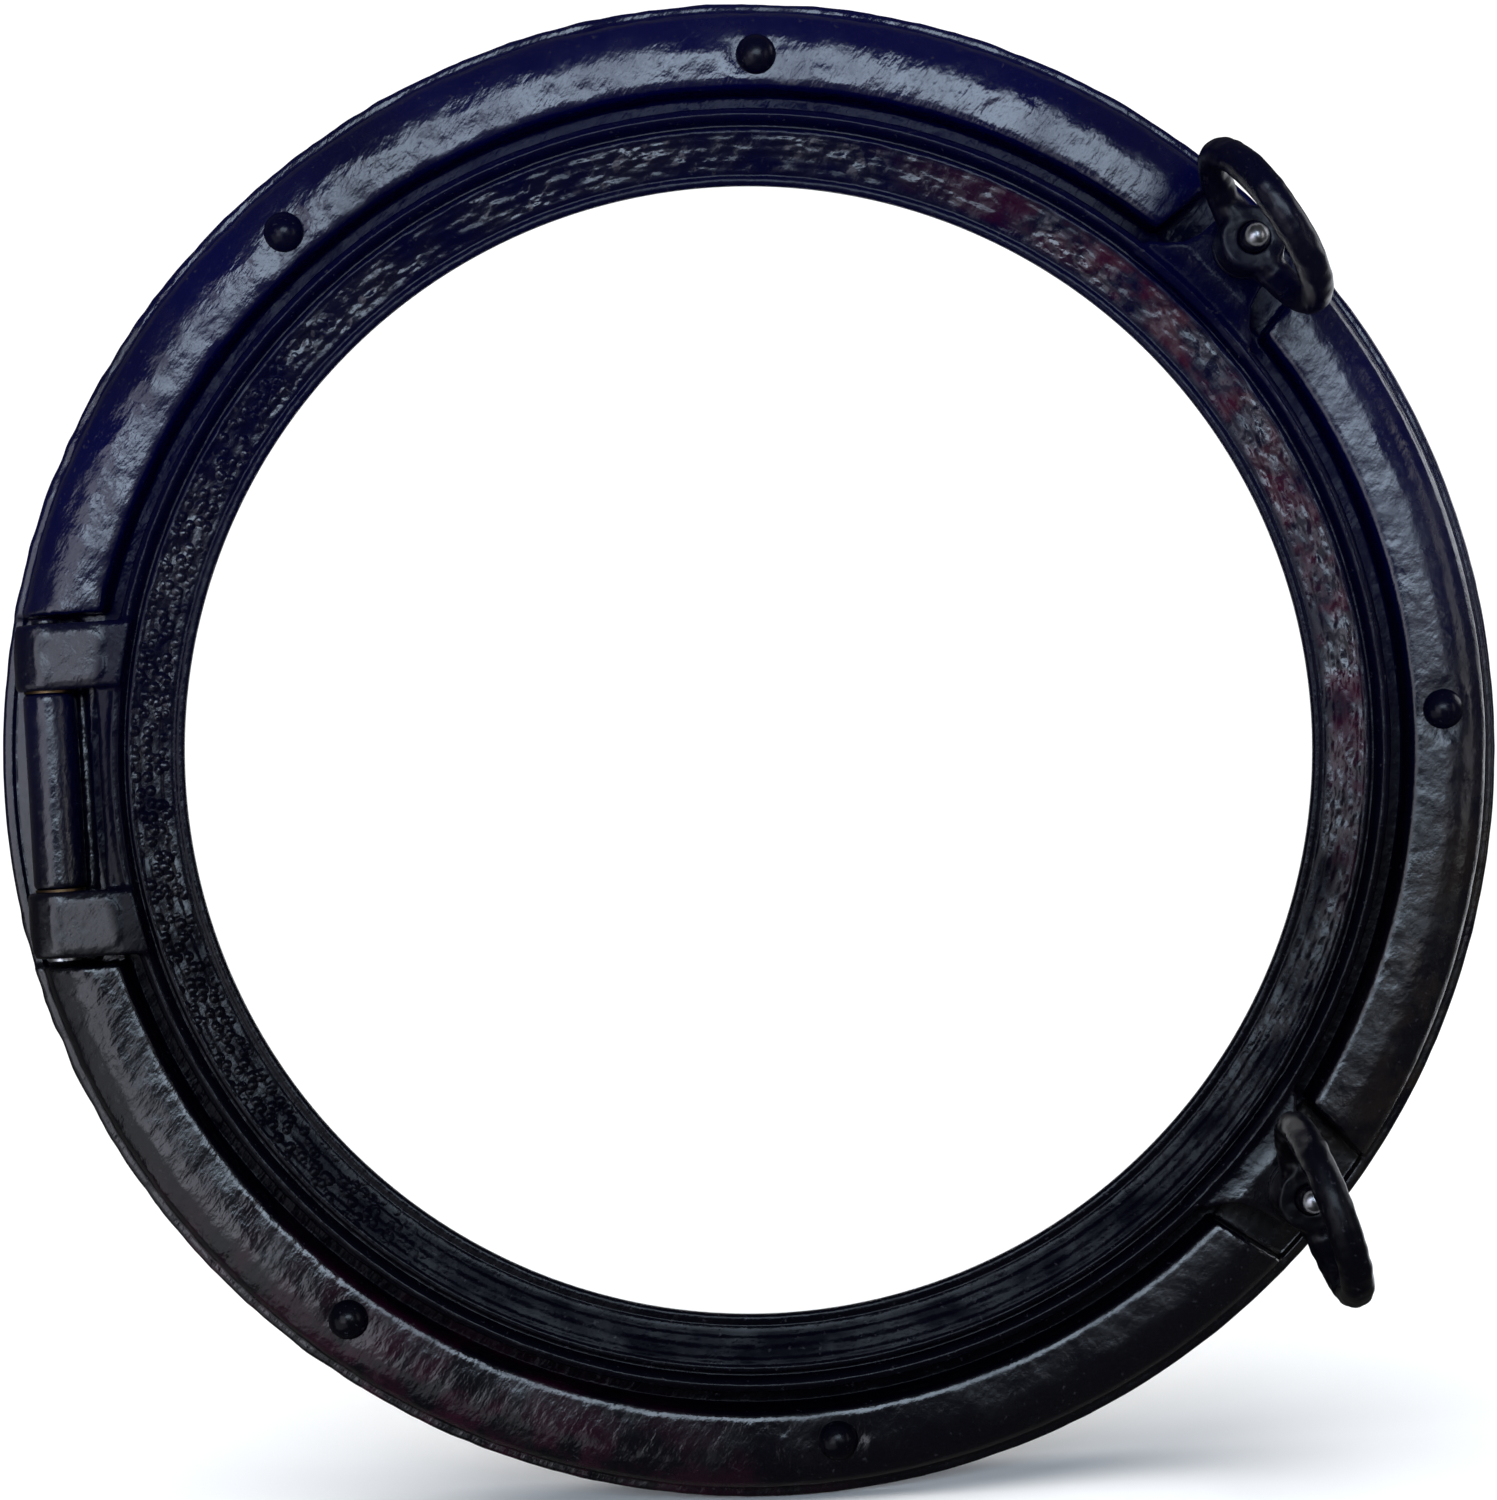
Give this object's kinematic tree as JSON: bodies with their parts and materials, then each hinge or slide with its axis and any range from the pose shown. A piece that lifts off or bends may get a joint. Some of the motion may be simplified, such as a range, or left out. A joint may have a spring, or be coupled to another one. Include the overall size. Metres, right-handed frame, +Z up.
{
  "type": "opening porthole",
  "caption": "Round opening porthole: bolted flange with spigot, hinged glazed ring and ring-handled eye nuts on swing bolts that hold it shut.",
  "frame": {"origin": "on the window's axis, in the plane of the flange's back face, which lies on the hull", "axes": "+Z up, +X to the right seen from the front, +Y back through the hull, so the front faces -Y; the hinge is at -X"},
  "size_m": [0.61, 0.157, 0.61],
  "materials": {
    "painted_casting": "gloss",
    "painted_door": "gloss",
    "painted_dogs": "gloss",
    "painted_bolts": "gloss",
    "painted_pins": "gloss",
    "painted_retainer": "gloss",
    "pin_steel": "satin",
    "bush_bronze": "satin",
    "seal_rubber": "matte",
    "gasket_rubber": "matte",
    "window_glass": "polished"
  },
  "bodies": {
    "frame": {"outer_frame": "painted_casting", "frame_seal": "seal_rubber", "mounting_bolts": "painted_bolts", "hinge_pin": "painted_pins", "hinge_pin_clip": "pin_steel", "upper_dog_pivot_pin": "painted_pins", "lower_dog_pivot_pin": "painted_pins"},
    "door": {"door_ring": "painted_door", "glass_pane": "window_glass", "front_glazing_gasket": "gasket_rubber", "rear_glazing_gasket": "gasket_rubber", "glass_retaining_ring": "painted_retainer", "retaining_ring_screws": "pin_steel", "upper_hinge_bush": "bush_bronze", "lower_hinge_bush": "bush_bronze", "upper_thrust_washer": "bush_bronze", "lower_thrust_washer": "bush_bronze"},
    "upper_bolt": {"upper_swing_bolt": "painted_dogs"},
    "upper_washer": {"upper_dog_washer": "painted_dogs"},
    "upper_nut": {"upper_dog_nut": "painted_dogs"},
    "lower_bolt": {"lower_swing_bolt": "painted_dogs"},
    "lower_washer": {"lower_dog_washer": "painted_dogs"},
    "lower_nut": {"lower_dog_nut": "painted_dogs"}
  },
  "joints": [
    {"name": "door_swing", "type": "hinge", "parent": "frame", "child": "door", "pos_m": [-0.2806, -0.017, 0], "axis": [0, 0, -1], "range_deg": [0, 170]},
    {"name": "upper_dog_swing", "type": "hinge", "parent": "frame", "child": "upper_bolt", "pos_m": [0.20957, -0.012, 0.1887], "axis": [-0.6691, 0, 0.7431], "range_deg": [0, 60]},
    {"name": "upper_nut_travel", "type": "slide", "parent": "upper_bolt", "child": "upper_washer", "axis": [0, -1, 0], "range_m": [0, 0.00525]},
    {"name": "upper_nut_spin", "type": "hinge", "parent": "upper_washer", "child": "upper_nut", "pos_m": [0.20957, -0.012, 0.1887], "axis": [0, -1, 0], "range_deg": [0, 1080]},
    {"name": "lower_dog_swing", "type": "hinge", "parent": "frame", "child": "lower_bolt", "pos_m": [0.20957, -0.012, -0.1887], "axis": [0.6691, 0, 0.7431], "range_deg": [0, 60]},
    {"name": "lower_nut_travel", "type": "slide", "parent": "lower_bolt", "child": "lower_washer", "axis": [0, -1, 0], "range_m": [0, 0.00525]},
    {"name": "lower_nut_spin", "type": "hinge", "parent": "lower_washer", "child": "lower_nut", "pos_m": [0.20957, -0.012, -0.1887], "axis": [0, -1, 0], "range_deg": [0, 1080]}
  ],
  "couplings": [
    {"joint": "upper_nut_travel", "follows": "upper_nut_spin", "m_per_rad": 0.00027852},
    {"joint": "lower_nut_travel", "follows": "lower_nut_spin", "m_per_rad": 0.00027852}
  ]
}
